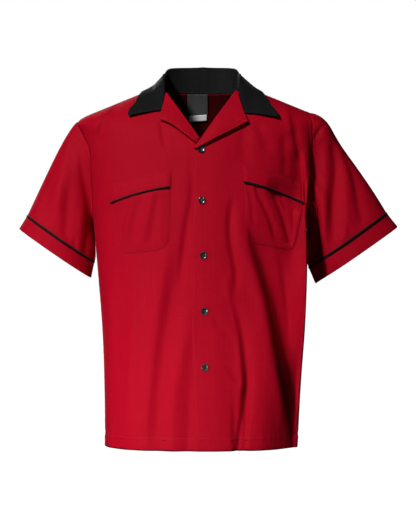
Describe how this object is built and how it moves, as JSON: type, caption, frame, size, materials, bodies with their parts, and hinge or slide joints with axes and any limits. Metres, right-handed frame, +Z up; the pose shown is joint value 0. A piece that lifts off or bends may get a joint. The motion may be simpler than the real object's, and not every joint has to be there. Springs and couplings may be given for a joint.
{
  "type": "bowling shirt",
  "caption": "Short-sleeved bowling shirt with a notched camp collar, buttoned front, two slanted flap pockets, piped cuffs and a straight hem, worn shape with no wearer.",
  "frame": {"origin": "middle of the neck, level with the top of the shoulder seams", "axes": "+Z up to the head, -Y out of the front, +X towards the wearer's left"},
  "size_m": [0.793, 0.256, 0.7997],
  "materials": {
    "red_cloth": "plain-woven poplin, matt",
    "black_cloth": "plain-woven poplin, matt",
    "white_tape": "woven tape, matt",
    "button_black": "moulded, glossy"
  },
  "bodies": {
    "root": {"front_plus": "red_cloth", "front_minus": "red_cloth", "back": "red_cloth", "sleeve_plus": "red_cloth", "sleeve_minus": "red_cloth", "cuff_plus": "red_cloth", "cuff_minus": "red_cloth", "cuff_piping_plus": "black_cloth", "cuff_piping_minus": "black_cloth", "collar": "black_cloth", "lapel_plus": "red_cloth", "lapel_minus": "red_cloth", "pocket_plus": "red_cloth", "pocket_minus": "red_cloth", "pocket_flap_plus": "red_cloth", "pocket_flap_minus": "red_cloth", "pocket_piping_plus": "black_cloth", "pocket_piping_minus": "black_cloth", "neck_label": "black_cloth", "size_tab": "white_tape", "button_1": "button_black", "button_2": "button_black", "button_3": "button_black", "button_4": "button_black", "button_5": "button_black"}
  },
  "joints": []
}
